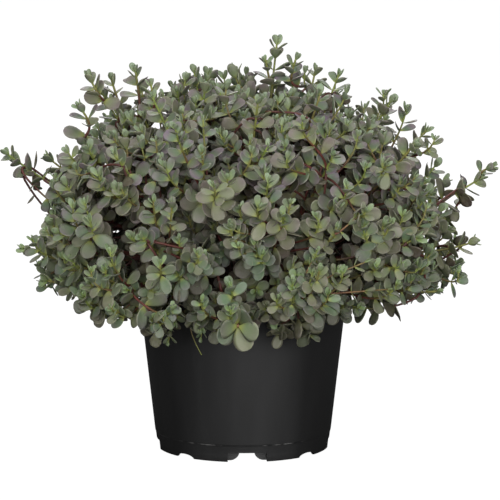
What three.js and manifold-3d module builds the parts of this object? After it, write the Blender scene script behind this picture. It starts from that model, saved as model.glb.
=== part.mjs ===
// A sedum in a nursery container: the container, the potting mix in it, and the rooted stems
// with their fleshy leaves. Millimetres, +Z up, origin on the floor at the centre of the base,
// with the front of the plant towards -Y.
import * as THREE from 'three';
import { mergeVertices } from 'three/addons/utils/BufferGeometryUtils.js';
import Module from 'manifold-3d';

const wasm = await Module();
wasm.setup();

// Container
const RIM_DIAMETER = 190;
const POT_HEIGHT = 150;
const POT_WALL = 1.6;
const WALL_SLOPE = 0.113;          // gain in radius for each millimetre of height
const RIM_BAND_HEIGHT = 12;
const RIM_BAND_PROUD = 1.8;        // how far the rim band stands out from the wall
const SHOULDER_HEIGHT = 8;         // sloping step between the foot and the wall
const SHOULDER_INSET = 1.5;
const FOOT_HEIGHT = 7;
const FOOT_DRAFT = 0.7;            // how far the foot draws in down to the floor
const FOOT_WIDTH = 3;
const BASE_RAISE = 8.3;            // underside of the base above the floor
const RIM_ROUND = 1;               // bevel on the rim's outer edge
const POT_SEGMENTS = 48;

// Drainage: wide notches with an opening in a recessed wall, and small scallops between them
const DRAIN_COUNT = 4;
const DRAIN_AZIMUTH = -87;         // degrees, the first notch
const DRAIN_WIDTH = 34;
const DRAIN_DEPTH = 11;
const OPENING_WIDTH = 12.5;        // at its flat top
const OPENING_FLARE = 8.5;         // what each side gains down to the floor
const SCALLOP_WIDTH = 20;
const SCALLOP_HEIGHT = 3.6;
const DRAIN_HOLE_LENGTH = 14;
const DRAIN_HOLE_WIDTH = 6;
const CURVE_STEPS = 8;
const CUT_OVERRUN = 1;             // a cut runs this far past the face that it opens

// Potting mix
const FIT_GAP = 0.3;               // clearance between pieces that touch
const SOIL_BELOW_RIM = 10;

// Stems
const STEM_RADIUS = 1.5;
const STEM_SIDES = 5;
const STEM_STEPS = 8;
const STEM_BURIED = 4;             // drawn this far under the potting mix, then cut off above it
const FOOT_MARGIN = 26;            // from the outermost stem's foot to the container's inside
const RIM_CLEARANCE = 9;           // from the rim to the axis of a stem that passes over it
const LOW_BOW = 22;                // rise of a sprawling stem above its straight line
const UPRIGHT_LEAN = 45;           // degrees from vertical: a stem that leans less has no bow
const SPRAWLING_LEAN = 85;         // one that leans more has all of it
const TIP_HOOK = 9;                // up-turn of a stem towards its tip
const STEM_SWAY = 8;               // largest sideways bend
const STEM_LEAN = 1.2;             // above 1 a stem rises first and leans out later
const STEM_GAP = 1;                // least clearance between two bare stems

// The crown is the point on the potting mix that the stems spread from. A stem's tip lies on a
// rounded, flat-topped dome about the crown, which draws in under the height of the rim.
const DOME_WIDTH = 396;
const DOME_DEPTH = 400;
const DOME_HEIGHT = 190;
const DOME_ROUNDNESS = 3;          // exponent of the dome's outline: 2 is an ellipse
const LOWEST_TIP = -13;            // degrees from the horizontal, at the front and the back
const LOWEST_SIDE_TIP = 3;         // the same at the left and the right
const UNDERSIDE_DRAW_IN = 0.27;    // share of the reach that is lost at the lowest tips
const REACH_SPREAD = 0.07;         // random share of the reach
const TIP_SPACING = 20;            // least degrees between two tips, seen from the crown
const TIP_CANDIDATES = 600;

// Stems that grew past the dome or hang over the rim: [x, y, height above the crown]
const LONG_STEMS = [
  [-206, -14, 122],
  [208, -10, 100],
  [-190, -34, 42],
  [203, -22, 46],
  [-124, 16, 172],
  [-140, -28, 136],
  [30, 26, 216],
  [84, 14, 188],
  [130, 8, 166],
  [160, -12, 142],
  [-122, -62, -12],
  [170, -58, 8],
  [-8, -148, -10],
  [48, -142, 6],
  [100, -100, 0],
  [-98, -138, 22],
  [-84, -162, 70],
  [148, -112, 62],
  [76, -128, 134],
  [-150, 92, 28],
  [20, 190, 60],
  [34, -188, 92],
  [-172, -40, 14],
  [140, 120, 40],
];

// Leaves grow in opposite pairs, each pair a quarter turn from the last
const LEAF_PAIRS = [
  { fromTip: 2, length: 12, spread: 34 },
  { fromTip: 10, length: 18, spread: 52 },
  { fromTip: 23, length: 23, spread: 64 },
  { fromTip: 39, length: 25, spread: 72 },
  { fromTip: 58, length: 25, spread: 76 },
];
const LEAF_THICKNESS = 2.2;
const LEAF_TAPER = 0.66;           // below 1 it moves the widest part towards the tip
const LEAF_BREADTH = 0.26;         // half-width for each millimetre of length, at the base
const LEAF_BROADENING = 0.2;       // what the half-width gains towards the tip
const LEAF_GAP = 0.5;              // least clearance between one stem's leaves and its neighbours
const LEAF_TURNS = [0, 25, -25, 50, -50];   // degrees that a crowded leaf may turn about its stem

const RANDOM_SEED = 4177;

const crownHeight = POT_HEIGHT - SOIL_BELOW_RIM;
const radians = THREE.MathUtils.degToRad;

// Colours of the record's material slots
const blackPlastic = new THREE.MeshStandardMaterial({ color: 0x1c1c1d, roughness: 0.5, metalness: 0 });
const pottingMix = new THREE.MeshStandardMaterial({ color: 0x2b2019, roughness: 0.95, metalness: 0 });
const foliage = new THREE.MeshStandardMaterial({ color: 0x66705a, roughness: 0.55, metalness: 0 });

// Repeatable random numbers from 0 to 1
let randomState = RANDOM_SEED;
function random() {
  randomState = (randomState * 48271) % 2147483647;
  return randomState / 2147483647;
}

// The container's outside and inside follow the same slope, from the shoulder to the rim
function wallRadius(z) {
  return RIM_DIAMETER / 2 - RIM_BAND_PROUD - (POT_HEIGHT - z) * WALL_SLOPE;
}

function insideRadius(z) {
  return wallRadius(z) - POT_WALL;
}

const footLimit = insideRadius(crownHeight) - FOOT_MARGIN;

// A closed mesh with its shared vertices merged, as a solid that can be joined and cut
function solidOf(geometry) {
  const bare = geometry.clone();
  bare.deleteAttribute('normal');
  bare.deleteAttribute('uv');
  const merged = mergeVertices(bare, 1e-4);
  const corners = merged.index.array;
  const triangles = [];
  for (let i = 0; i < corners.length; i += 3) {
    const [a, b, c] = corners.slice(i, i + 3);
    if (a !== b && b !== c && c !== a) {
      triangles.push(a, b, c);
    }
  }
  return new wasm.Manifold(new wasm.Mesh({
    numProp: 3,
    vertProperties: Float32Array.from(merged.attributes.position.array),
    triVerts: Uint32Array.from(triangles),
  }));
}

function meshOf(name, solid, material) {
  const { vertProperties, triVerts } = solid.getMesh();
  const geometry = new THREE.BufferGeometry();
  geometry.setAttribute('position', new THREE.BufferAttribute(vertProperties, 3));
  geometry.setIndex(new THREE.BufferAttribute(triVerts, 1));
  geometry.computeVertexNormals();
  const mesh = new THREE.Mesh(geometry, material);
  mesh.name = name;
  return mesh;
}

// A solid turned about Z from a profile of [radius, height] points that runs up the outside
function turned(profile, segments) {
  const points = profile.map(([radius, height]) => new THREE.Vector2(radius, height));
  return solidOf(new THREE.LatheGeometry(points, segments).rotateX(Math.PI / 2));
}

// An upright outline, [across, height], pushed out from the axis at an azimuth in degrees, from
// the nearer to the farther distance
function radialPrism(outline, near, far, azimuth) {
  const shape = new THREE.Shape(outline.map(([x, z]) => new THREE.Vector2(x, z)));
  const geometry = new THREE.ExtrudeGeometry(shape, { depth: far - near, bevelEnabled: false });
  geometry.rotateX(Math.PI / 2);
  geometry.translate(0, far, 0);
  geometry.rotateZ(radians(azimuth - 90));
  return solidOf(geometry);
}

// A round-topped arch, drawn from just under the floor
function archOutline(width, height) {
  const outline = [[-width / 2, -CUT_OVERRUN], [width / 2, -CUT_OVERRUN]];
  for (let i = 0; i <= CURVE_STEPS; i += 1) {
    const angle = (Math.PI * i) / CURVE_STEPS;
    outline.push([(width / 2) * Math.cos(angle), height * Math.sin(angle)]);
  }
  return outline;
}

// A flat-topped opening whose sides round outwards down to the floor
function flaredOutline(width, flare, height) {
  const side = [];
  for (let i = 0; i <= CURVE_STEPS; i += 1) {
    const angle = (Math.PI * i) / (2 * CURVE_STEPS);
    side.push([width / 2 + flare * (1 - Math.sin(angle)), height * (1 - Math.cos(angle))]);
  }
  const foot = width / 2 + flare;
  const right = [[foot, -CUT_OVERRUN], ...side];
  const left = right.map(([x, z]) => [-x, z]).reverse();
  return [...right, ...left];
}

function boxOutline(width, bottom, top) {
  return [[-width / 2, bottom], [width / 2, bottom], [width / 2, top], [-width / 2, top]];
}

function buildPot() {
  const footTop = wallRadius(FOOT_HEIGHT + SHOULDER_HEIGHT) - SHOULDER_INSET;
  const footBottom = footTop - FOOT_DRAFT;
  const footInside = footBottom - FOOT_WIDTH;
  const bandBottom = POT_HEIGHT - RIM_BAND_HEIGHT;
  const baseTop = BASE_RAISE + POT_WALL;
  let pot = turned([
    [0, BASE_RAISE],
    [footInside, BASE_RAISE],
    [footInside, 0],
    [footBottom, 0],
    [footTop, FOOT_HEIGHT],
    [wallRadius(FOOT_HEIGHT + SHOULDER_HEIGHT), FOOT_HEIGHT + SHOULDER_HEIGHT],
    [wallRadius(bandBottom), bandBottom],
    [wallRadius(bandBottom) + RIM_BAND_PROUD, bandBottom + RIM_BAND_PROUD],
    [RIM_DIAMETER / 2, POT_HEIGHT - RIM_ROUND],
    [RIM_DIAMETER / 2 - RIM_ROUND, POT_HEIGHT],
    [insideRadius(POT_HEIGHT), POT_HEIGHT],
    [insideRadius(baseTop), baseTop],
    [0, baseTop],
  ], POT_SEGMENTS);

  for (let i = 0; i < DRAIN_COUNT; i += 1) {
    const azimuth = DRAIN_AZIMUTH + (360 * i) / DRAIN_COUNT;
    const back = footBottom - DRAIN_DEPTH;
    const recess = back + POT_WALL;
    const outside = footTop + CUT_OVERRUN;
    const housing = boxOutline(DRAIN_WIDTH + 2 * POT_WALL, 0, BASE_RAISE + POT_WALL / 2);
    const hollow = boxOutline(DRAIN_WIDTH, -CUT_OVERRUN, BASE_RAISE);
    const opening = flaredOutline(OPENING_WIDTH, OPENING_FLARE, BASE_RAISE);
    pot = pot.add(radialPrism(housing, back, footBottom - FOOT_WIDTH / 2, azimuth));
    pot = pot.subtract(radialPrism(hollow, recess, outside, azimuth));
    pot = pot.subtract(radialPrism(opening, back - CUT_OVERRUN, outside, azimuth));
    const hole = boxOutline(DRAIN_HOLE_LENGTH, BASE_RAISE - CUT_OVERRUN, baseTop + CUT_OVERRUN);
    pot = pot.subtract(radialPrism(hole, recess, recess + DRAIN_HOLE_WIDTH, azimuth));
    const scallop = archOutline(SCALLOP_WIDTH, SCALLOP_HEIGHT);
    const between = azimuth + 180 / DRAIN_COUNT;
    pot = pot.subtract(radialPrism(scallop, footInside - CUT_OVERRUN, outside, between));
  }
  return pot;
}

function buildPottingMix() {
  const bottom = BASE_RAISE + POT_WALL + FIT_GAP;
  return turned([
    [0, bottom],
    [insideRadius(bottom) - FIT_GAP, bottom],
    [insideRadius(crownHeight) - FIT_GAP, crownHeight],
    [0, crownHeight],
  ], POT_SEGMENTS);
}

// How far the dome reaches from the crown in a direction given as a unit vector
function domeReach(direction) {
  const across = Math.hypot(direction.x / (DOME_WIDTH / 2), direction.y / (DOME_DEPTH / 2));
  const up = Math.abs(direction.z) / DOME_HEIGHT;
  const reach = (across ** DOME_ROUNDNESS + up ** DOME_ROUNDNESS) ** (-1 / DOME_ROUNDNESS);
  const under = Math.asin(Math.min(0, direction.z)) / radians(LOWEST_TIP);
  return reach * (1 - UNDERSIDE_DRAW_IN * under);
}

// Tips, measured from the crown: the long stems first, then the dome's own, evenly spread
function stemTips() {
  const tips = LONG_STEMS.map(([x, y, up]) => new THREE.Vector3(x, y, up));
  const goldenAngle = Math.PI * (3 - Math.sqrt(5));
  for (let i = 0; i < TIP_CANDIDATES; i += 1) {
    const turn = i * goldenAngle;
    const sideways = Math.cos(turn) ** 2;
    const lowest = Math.sin(radians(LOWEST_TIP + (LOWEST_SIDE_TIP - LOWEST_TIP) * sideways));
    const z = lowest + (1 - lowest) * ((i + 0.5) / TIP_CANDIDATES);
    const level = Math.sqrt(1 - z * z);
    const direction = new THREE.Vector3(level * Math.cos(turn), level * Math.sin(turn), z);
    if (tips.every((tip) => tip.angleTo(direction) > radians(TIP_SPACING))) {
      const reach = domeReach(direction) * (1 + REACH_SPREAD * (random() - 0.5));
      tips.push(direction.multiplyScalar(reach));
    }
  }
  return tips;
}

// The axis of a stem: from its foot on the potting mix, out to its tip. The feet keep the order
// of the tips, so that no two stems cross, and a sprawling stem passes over the rim.
function stemCurve(tip, sway) {
  const azimuth = Math.atan2(tip.y, tip.x);
  const fromVertical = tip.angleTo(new THREE.Vector3(0, 0, 1));
  const widest = radians(90 - LOWEST_TIP);
  const footRadius = footLimit * Math.min(1, Math.sin(fromVertical / 2) / Math.sin(widest / 2));
  const reach = Math.hypot(tip.x, tip.y);
  const footUp = -STEM_BURIED;
  const bowShape = (s) => 6.75 * s * (1 - s) ** 2;    // 1 at its peak, a third of the way along
  const straight = (s) => footUp + (tip.z - footUp) * s + TIP_HOOK * (s ** 4 - s);

  const sprawl = THREE.MathUtils.smoothstep(
    fromVertical,
    radians(UPRIGHT_LEAN),
    radians(SPRAWLING_LEAN),
  );
  let bow = LOW_BOW * sprawl;
  const rimRadius = RIM_DIAMETER / 2;
  if (reach > rimRadius) {
    const overRim = ((rimRadius - footRadius) / (reach - footRadius)) ** (1 / STEM_LEAN);
    const lift = SOIL_BELOW_RIM + RIM_CLEARANCE - straight(overRim);
    bow = Math.max(bow, lift / bowShape(overRim));
  }

  const points = [];
  for (let i = 0; i <= STEM_STEPS; i += 1) {
    const s = i / STEM_STEPS;
    const out = footRadius + (reach - footRadius) * s ** STEM_LEAN;
    const aside = sway * Math.sin(Math.PI * s);
    points.push(new THREE.Vector3(
      out * Math.cos(azimuth) - aside * Math.sin(azimuth),
      out * Math.sin(azimuth) + aside * Math.cos(azimuth),
      crownHeight + straight(s) + bow * bowShape(s),
    ));
  }
  return new THREE.CatmullRomCurve3(points);
}

// A tube along the curve, cut level just above the potting mix
function stemTube(curve) {
  const section = new THREE.Shape();
  for (let i = 0; i < STEM_SIDES; i += 1) {
    const angle = (2 * Math.PI * i) / STEM_SIDES;
    const corner = [STEM_RADIUS * Math.cos(angle), STEM_RADIUS * Math.sin(angle)];
    if (i === 0) {
      section.moveTo(...corner);
    } else {
      section.lineTo(...corner);
    }
  }
  const tube = solidOf(new THREE.ExtrudeGeometry(section, { steps: STEM_STEPS, extrudePath: curve }));
  const depth = 2 * STEM_BURIED;
  const foot = curve.getPoint(0);
  const buried = new THREE.CylinderGeometry(4 * STEM_RADIUS, 4 * STEM_RADIUS, depth);
  buried.rotateX(Math.PI / 2);
  buried.translate(foot.x, foot.y, crownHeight + FIT_GAP - depth / 2);
  return tube.subtract(solidOf(buried));
}

// A leaf lies along +X from its base, its upper face towards +Z: six points round the edge, set
// wider towards the tip, and one in the middle of each face
function leafGeometry(length) {
  const geometry = new THREE.SphereGeometry(1, 6, 2).rotateX(Math.PI / 2);
  const position = geometry.attributes.position;
  for (let i = 0; i < position.count; i += 1) {
    const share = (position.getX(i) + 1) / 2;
    const breadth = position.getY(i) * length * (LEAF_BREADTH + LEAF_BROADENING * share);
    const height = (position.getZ(i) * LEAF_THICKNESS) / 2;
    position.setXYZ(i, length * share ** LEAF_TAPER, breadth, height);
  }
  return geometry;
}

// A point of the tube's own axis, which runs straight from step to step
function tubeAxisPoint(curve, along) {
  const steps = curve.getSpacedPoints(STEM_STEPS);
  const step = Math.min(STEM_STEPS - 1, Math.floor(along * STEM_STEPS));
  return steps[step].lerp(steps[step + 1], along * STEM_STEPS - step);
}

// A leaf on the stem at a distance from the tip: turned about the stem's axis, and spread from it
function placedLeaf(curve, pair, turn) {
  const along = Math.max(0, 1 - pair.fromTip / curve.getLength());
  const base = tubeAxisPoint(curve, along);
  const tangent = curve.getTangentAt(along);
  const sideways = new THREE.Vector3(-tangent.y, tangent.x, 0).normalize();
  const normal = sideways.applyAxisAngle(tangent, turn);
  const spread = radians(pair.spread);
  const leafAxis = tangent.clone().multiplyScalar(Math.cos(spread));
  leafAxis.addScaledVector(normal, Math.sin(spread));
  const upper = tangent.clone().multiplyScalar(Math.sin(spread));
  upper.addScaledVector(normal, -Math.cos(spread));
  const across = upper.clone().cross(leafAxis);
  const placing = new THREE.Matrix4().makeBasis(leafAxis, across, upper).setPosition(base);
  return solidOf(leafGeometry(pair.length).applyMatrix4(placing));
}

function isClear(solid, others, gap) {
  return others.every((other) => solid.minGap(other, gap) >= gap);
}

// A bare stem that bends to the side, another way or further where it would touch a neighbour
function bareStem(tip, neighbours) {
  const sway = STEM_SWAY * (2 * random() - 1);
  const roll = Math.PI * random();
  const swayTries = [sway, -sway, 0, STEM_SWAY, -STEM_SWAY, 2 * STEM_SWAY, -2 * STEM_SWAY];
  const tubes = swayTries.map((bend) => {
    const curve = stemCurve(tip, bend);
    return { curve, solid: stemTube(curve), roll };
  });
  return tubes.find((tube) => isClear(tube.solid, neighbours, STEM_GAP)) ?? tubes[0];
}

// Every bare stem comes first, then the leaves. A leaf that would touch a neighbour is turned
// about its stem, and one that finds no room was never grown.
function buildStems(fixedSolids) {
  const stems = [];
  stemTips().forEach((tip) => {
    stems.push(bareStem(tip, stems.map((stem) => stem.solid)));
  });
  stems.forEach((stem) => {
    const others = stems.filter((other) => other !== stem).map((other) => other.solid);
    const obstacles = [...fixedSolids, ...others];
    LEAF_PAIRS.forEach((pair, index) => {
      for (const opposite of [0, Math.PI]) {
        const turn = stem.roll + (index * Math.PI) / 2 + opposite;
        for (const degrees of LEAF_TURNS) {
          const leaf = placedLeaf(stem.curve, pair, turn + radians(degrees));
          if (isClear(leaf, obstacles, LEAF_GAP)) {
            stem.solid = stem.solid.add(leaf);
            break;
          }
        }
      }
    });
  });
  return stems.map((stem) => stem.solid);
}

const pottedSedum = new THREE.Group();
const pot = buildPot();
const soil = buildPottingMix();
pottedSedum.add(meshOf('pot', pot, blackPlastic));
pottedSedum.add(meshOf('potting_mix', soil, pottingMix));
buildStems([pot, soil]).forEach((solid, index) => {
  const name = `stem_${String(index + 1).padStart(2, '0')}`;
  pottedSedum.add(meshOf(name, solid, foliage));
});

export default pottedSedum;
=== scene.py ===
"""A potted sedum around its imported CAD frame: the container, the potting mix, and for each rooted
stem one piece with all its side shoots and leaves.

Shapes are worked out in millimetres and put into meshes in metres. The stems repeat the CAD
model's own formulas, so every piece grows where the node it stands for is.
"""
import math

import bmesh
import bpy
import numpy as np
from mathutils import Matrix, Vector


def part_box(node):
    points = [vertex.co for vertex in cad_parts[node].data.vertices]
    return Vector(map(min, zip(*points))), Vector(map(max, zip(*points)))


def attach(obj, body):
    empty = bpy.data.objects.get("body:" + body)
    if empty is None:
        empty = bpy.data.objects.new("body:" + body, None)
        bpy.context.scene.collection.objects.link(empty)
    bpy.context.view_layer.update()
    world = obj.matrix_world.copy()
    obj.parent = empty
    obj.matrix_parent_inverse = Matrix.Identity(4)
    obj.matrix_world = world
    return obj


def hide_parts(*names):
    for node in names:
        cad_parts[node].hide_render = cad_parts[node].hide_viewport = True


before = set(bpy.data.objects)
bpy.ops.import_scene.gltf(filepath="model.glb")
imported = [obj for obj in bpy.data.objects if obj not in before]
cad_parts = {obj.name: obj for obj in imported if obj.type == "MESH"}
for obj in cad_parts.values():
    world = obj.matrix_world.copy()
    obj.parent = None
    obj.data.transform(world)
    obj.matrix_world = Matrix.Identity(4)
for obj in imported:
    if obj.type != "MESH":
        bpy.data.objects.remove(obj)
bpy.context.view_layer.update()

MM = 0.001

# ---- sizes taken from the frame
pot_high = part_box("pot")[1]
mix_low, mix_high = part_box("potting_mix")
RIM_RADIUS = pot_high.x / MM
POT_HEIGHT = pot_high.z / MM
CROWN_HEIGHT = mix_high.z / MM
MIX_TOP_RADIUS = mix_high.x / MM
MIX_BOTTOM = mix_low.z / MM
STEM_NODES = sorted(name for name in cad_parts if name.startswith("stem_"))

# ---- the CAD model's growth values
FIT_GAP = 0.3
STEM_BURIED = 4
FOOT_MARGIN = 26
RIM_CLEARANCE = 9
LOW_BOW = 22
UPRIGHT_LEAN = math.radians(45)
SPRAWLING_LEAN = math.radians(85)
TIP_HOOK = 9
STEM_SWAY = 8
STEM_LEAN = 1.2
DOME_SIZE = (396, 400, 190)  # width, depth, height above the crown
DOME_ROUNDNESS = 3
LOWEST_TIP = math.radians(-13)  # at the front and the back
LOWEST_SIDE_TIP = math.radians(3)  # at the left and the right
UNDERSIDE_DRAW_IN = 0.27
REACH_SPREAD = 0.07
TIP_SPACING = math.radians(20)
TIP_CANDIDATES = 600
STEM_SEED = 4177
GOLDEN_ANGLE = math.pi * (3 - math.sqrt(5))
UP = np.array([0.0, 0.0, 1.0])
CROWN = np.array([0.0, 0.0, CROWN_HEIGHT])
LONG_STEMS = (  # tips placed one by one, from the middle of the crown
    (-206, -14, 122), (208, -10, 100), (-190, -34, 42), (203, -22, 46), (-124, 16, 172),
    (-140, -28, 136), (30, 26, 216), (84, 14, 188), (130, 8, 166), (160, -12, 142),
    (-122, -62, -12), (170, -58, 8), (-8, -148, -10), (48, -142, 6), (100, -100, 0),
    (-98, -138, 22), (-84, -162, 70), (148, -112, 62), (76, -128, 134), (-150, 92, 28),
    (20, 190, 60), (34, -188, 92), (-172, -40, 14), (140, 120, 40),
)

# ---- shoots and leaves
SHOOT_COUNT = 500  # places tried over the dome
LOWEST_SHOOT = math.radians(-8)  # at the front and the back
LOWEST_SIDE_SHOOT = math.radians(2)  # at the left and the right
# Where shoots may end. Heights are as seen from the front, from a little above.
SEEN_SLOPE = 0.15  # what a place nearer the front loses in seen height
FRONT_FRINGE = ((-140, -90, 40, 70, 130), (132, 114, 114, 134, 144))  # x, lowest height
LEFT_EDGE = (  # height, farthest out
    (120, 130, 142, 155, 180, 190, 230, 245, 275, 290, 320),
    (110, 126, 168, 190, 192, 168, 162, 180, 194, 140, 130),
)
RIGHT_EDGE = (
    (120, 130, 142, 155, 190, 205, 220, 232, 250, 270, 320),
    (96, 124, 162, 188, 200, 184, 180, 206, 206, 172, 146),
)
DOME_FULLNESS = 0.85  # share of the CAD dome's reach
DOME_RISE = 0.065  # more of it towards the top
DOME_LUMPS = 0.05
STRAY_SHARE = 0.2  # of the shoots, that stand out of the dome
STRAY_REACH = 0.13

SHOOT_LENGTHS = (40, 85)
SHOOT_VIGOURS = (0.72, 1.12)
SHOOT_ROUNDNESS = (0.54, 0.84)
UPRIGHT_SHARE = 0.9  # how much shoots end upright rather than outward
END_JITTER = 0.22
SHOOT_JITTER = math.radians(3.0)
SHOOT_CLEAR_OF_TIPS = math.radians(5.5)
SHOOT_STEPS = 12
SHORTEST_SHOOT = 20
SHOOT_RIM_GUARD = 3
INNER_SHOOT_COUNT = 340  # shaded shoots inside the dome
INNER_REACHES = (0.58, 0.84)
INNER_VIGOURS = (0.8, 1.1)
SHOOT_SEED = 20

MAIN_STEPS = 28
HANGING_TIP = 12  # a rooted stem that ends lower than this hangs
MAIN_STYLE = {"thick": (1.75, 0.85), "leafy": 0.62, "shade": 0.0}
HANGING_STYLE = {"vigour": 0.66, "roundness": 0.84, **MAIN_STYLE}
STANDING_STYLE = {"vigour": 1.02, "roundness": 0.74, **MAIN_STYLE}
SIDE_STYLE = {"thick": (1.15, 0.7), "leafy": 0.85}

PARTINGS = np.linspace(0.25, 0.92, 15)  # where side shoots may leave their stem
PARTING_TRIES = 9
PARTING_TURN = 0.7  # towards the shoot's end
PARTING_JITTER = 0.25
LEAVE_SHARE = 0.35  # of the shoot's span, straight on from its stem
ARRIVE_SHARE = 0.38  # of the shoot's span, straight in to its end
PATH_FOOT = 3  # nothing is joined to a path's first points

PAIR_GAPS = (1.6, 4.0, 6.6, 8.6, 10.5, 12.0, 13.0, 14.0)  # between pairs, from the tip down
PAIR_LENGTHS = (5.5, 9.5, 12.5, 15.0, 17.0, 18.5, 19.5, 19.5)
PAIR_SPREADS = (15, 31, 48, 60, 68, 74, 78, 82)  # degrees from the shoot's axis
FACE_OUTWARD = 0.8  # how much leaves turn their upper faces out of the dome
FIRST_PAIR_FROM_TIP = 0.4
PAIR_AGE = 0.125  # what each pair down adds to the age
SHADE_AGE = 0.25
LAST_FULL_PAIR = 5  # below it leaves are smaller and some are lost
LOST_SHARE = 0.35
ROLL_JITTER = 0.2
SPREAD_JITTER = 9
AXIS_JITTER = 0.14
FACE_JITTER = 0.2
TONE_JITTER = 0.22
LEAF_SAG = 0.22
LEAF_SET_OUT = 0.35  # a leaf's root, from its stem's axis
LEAF_THICKNESS = 1.7
SMALL_LEAF_SIZE = 9  # leaves up to this length have the simpler mesh
LEAF_SLOT = 0
STEM_SLOT = 1

# Shoots placed one by one, at the crest, the right, the front and over the container:
# [passes, ends, style]
PLACED_SHOOTS = (
    ((-84, -68, 138), (-86, -72, 120), "sprig"),
    ((-68, -80, 134), (-73, -86, 113), "green_stub"),
    ((-58, -88, 136), (-61, -94, 121), "sprig"),
    ((-60, -90, 126), (-64, -92, 108), "sprig"),
    ((-32, -104, 130), (-36, -108, 114), "sprig"),
    ((-44, -104, 116), (-35, -106, 100), "thread"),
    ((-52, -120, 146), (-58, -128, 132), "broad"),
    ((-40, -124, 140), (-36, -132, 128), "broad"),
    ((-74, -112, 158), (-84, -116, 147), "broad"),
    ((24, -110, 144), (26, -118, 132), "broad"),
    ((40, -102, 136), (44, -106, 122), "sprig"),
    ((50, -98, 131), (61, -100, 126), "red_stub"),
    ((62, -96, 144), (64, -98, 134), "sprig"),
    ((80, -72, 140), (85, -74, 130), "sprig"),
    ((100, -50, 136), (122, -46, 137), "broad"),
    ((42, -150, 162), (106, -142, 187), "runner"),
    ((48, -150, 168), (58, -150, 187), "runner"),
    ((64, -142, 158), (126, -112, 158), "runner"),
    ((76, -150, 208), (97, -150, 226), "runner"),
    ((206, -11, 246), (219, -12, 250), "spike"),
    ((-122, -10, 306), (-134, -8, 328), "crest"),
    ((-108, 10, 300), (-116, 12, 326), "crest"),
    ((-90, 0, 308), (-94, -4, 334), "crest"),
    ((-76, -20, 300), (-80, -20, 324), "crest"),
    ((-4, -136, 137), (-4, -159, 134), "rosette"),
    ((-22, -108, 174), (-26, -128, 184), "broad"),
    ((2, -104, 166), (4, -126, 174), "broad"),
    ((18, -110, 178), (22, -130, 188), "broad"),
    ((-12, -112, 186), (-14, -130, 196), "broad"),
    ((26, -108, 160), (30, -128, 166), "broad"),
    ((8, -100, 158), (12, -122, 158), "broad"),
    ((-6, -104, 150), (-14, -120, 152), "broad"),
    ((-34, -106, 160), (-38, -126, 164), "broad"),
    ((-128, -30, 286), (-142, -34, 306), "crest"),
    ((38, 10, 316), (47, 6, 345), "crest"),
    ((24, 24, 318), (20, 18, 341), "crest"),
)
STYLE_KEYS = ("thick", "vigour", "roundness", "leafy", "stem_tone", "stem_ages")
STYLE_ROWS = {
    "sprig": ((0.7, 0.5), 0.6, 0.6, 0.75, 0.4, (0.5, 0.1)),
    "broad": ((1.3, 0.9), 0.95, 0.82, 0.7, 0.3, (0.6, 0.2)),
    "rosette": ((1.5, 1.3), 1.42, 0.8, 0.95, 0.97, (0.6, 0.3)),
    "runner": ((0.95, 0.6), 0.8, 0.44, 0.85, 0.97, (0.5, 0.2)),
    "crest": ((1.3, 0.9), 0.95, 0.78, 0.9, 0.4, (0.6, 0.1)),
    "spike": ((1.3, 0.8), 0.9, 0.7, 0.9, 0.4, (0.5, 0.1)),
    "green_stub": ((1.5, 1.7), 1, 1, 0, 0.2, (0.6, 0.0)),
    "red_stub": ((1.4, 1.7), 1, 1, 0, 1.0, (0.5, 0.45)),
    "thread": ((0.6, 0.35), 1, 1, 0, 0.4, (0.4, 0.1)),
}
PLACED_STYLES = {name: dict(zip(STYLE_KEYS, row)) for name, row in STYLE_ROWS.items()}
PLACED_STYLES["rosette"].update(first_pair=3, age_shift=-0.08, stretch=0.22, swirl=0.42)
PLACED_STYLES["runner"].update(stretch=1.25)
RIM_GUARD = 2.5  # leaves keep this far from the container's rim
GUARDED_WIDTH = 12  # of the mix's edge, which nothing crosses under the rim


def unit(vector):
    return vector / np.linalg.norm(vector)


def smoothstep(value, low, high):
    share = min(1.0, max(0.0, (value - low) / (high - low)))
    return share * share * (3 - 2 * share)


def angle_between(a, b):
    return math.acos(max(-1.0, min(1.0, float(np.dot(unit(a), unit(b))))))


class Lehmer:
    """The CAD model's own random numbers, from 0 to 1."""

    def __init__(self, seed):
        self.state = seed

    def __call__(self):
        self.state = self.state * 48271 % 2147483647
        return self.state / 2147483647


def wave(direction):
    """A slow, smooth wave over the dome, from -1 to 1, that makes it lumpy."""
    x, y, z = direction
    return (math.sin(5.1 * x + 1.3) * math.cos(4.3 * y - 0.6) + math.sin(6.7 * z + 3.9 * y)) / 2


def dome_reach(direction):
    """How far the dome reaches from the crown in a direction given as a unit vector."""
    width, depth, height = DOME_SIZE
    across = math.hypot(direction[0] / (width / 2), direction[1] / (depth / 2))
    up = abs(direction[2]) / height
    reach = (across ** DOME_ROUNDNESS + up ** DOME_ROUNDNESS) ** (-1 / DOME_ROUNDNESS)
    under = math.asin(min(0.0, direction[2])) / LOWEST_TIP
    return reach * (1 - UNDERSIDE_DRAW_IN * under)


def spiral_direction(index, count, front=LOWEST_TIP, side=LOWEST_SIDE_TIP):
    """Evenly spread directions, from the lowest tips up to straight up."""
    turn = index * GOLDEN_ANGLE
    lowest = math.sin(front + (side - front) * math.cos(turn) ** 2)
    z = lowest + (1 - lowest) * ((index + 0.5) / count)
    level = math.sqrt(1 - z * z)
    return np.array([level * math.cos(turn), level * math.sin(turn), z])


def stem_tips(random):
    tips = [np.array(tip, float) for tip in LONG_STEMS]
    for index in range(TIP_CANDIDATES):
        direction = spiral_direction(index, TIP_CANDIDATES)
        if all(angle_between(tip, direction) > TIP_SPACING for tip in tips):
            reach = dome_reach(direction) * (1 + REACH_SPREAD * (random() - 0.5))
            tips.append(direction * reach)
    return tips


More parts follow.
